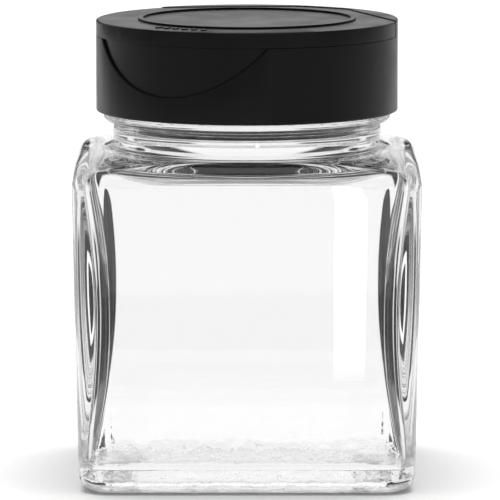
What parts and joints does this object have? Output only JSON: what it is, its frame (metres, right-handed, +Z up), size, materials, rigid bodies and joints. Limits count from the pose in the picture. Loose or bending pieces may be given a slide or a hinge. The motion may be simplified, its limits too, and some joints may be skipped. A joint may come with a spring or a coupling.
{
  "type": "square glass jar with flip-top cap",
  "caption": "Square clear-glass jar with a round black screw cap whose flip-up flap covers a perforated deck.",
  "frame": {"origin": "centre of the foot, on the surface that the jar stands on", "axes": "+Z up along the jar's and the cap's common axis, -Y towards the front face, +X to the right"},
  "size_m": [0.0602, 0.0602, 0.0798],
  "materials": {
    "clear_glass": "fire-polished clear soda-lime glass",
    "black_polypropylene": "fine matt moulded",
    "white_foam_liner": "foamed polyethylene"
  },
  "bodies": {
    "jar": {"glass_jar": "clear_glass"},
    "liner": {"sealing_liner": "white_foam_liner"},
    "cap": {"cap_shell": "black_polypropylene", "hinge_film": "black_polypropylene"},
    "flap": {"flip_flap": "black_polypropylene"}
  },
  "joints": [
    {"name": "cap_lift", "type": "slide", "parent": "jar", "child": "liner", "axis": [0, 0, 1], "range_m": [0, 0.0126]},
    {"name": "cap_turn", "type": "hinge", "parent": "liner", "child": "cap", "pos_m": [0, 0, 0.0695], "axis": [0, 0, 1], "range_deg": [0, 900]},
    {"name": "flap_open", "type": "hinge", "parent": "cap", "child": "flap", "pos_m": [0.01316, 0.02066, 0.07933], "axis": [-0.8434, 0.5373, 0], "range_deg": [0, 125], "deforming": ["hinge_film"]}
  ],
  "couplings": [
    {"joint": "cap_lift", "follows": "cap_turn", "m_per_rad": 0.00079577}
  ]
}
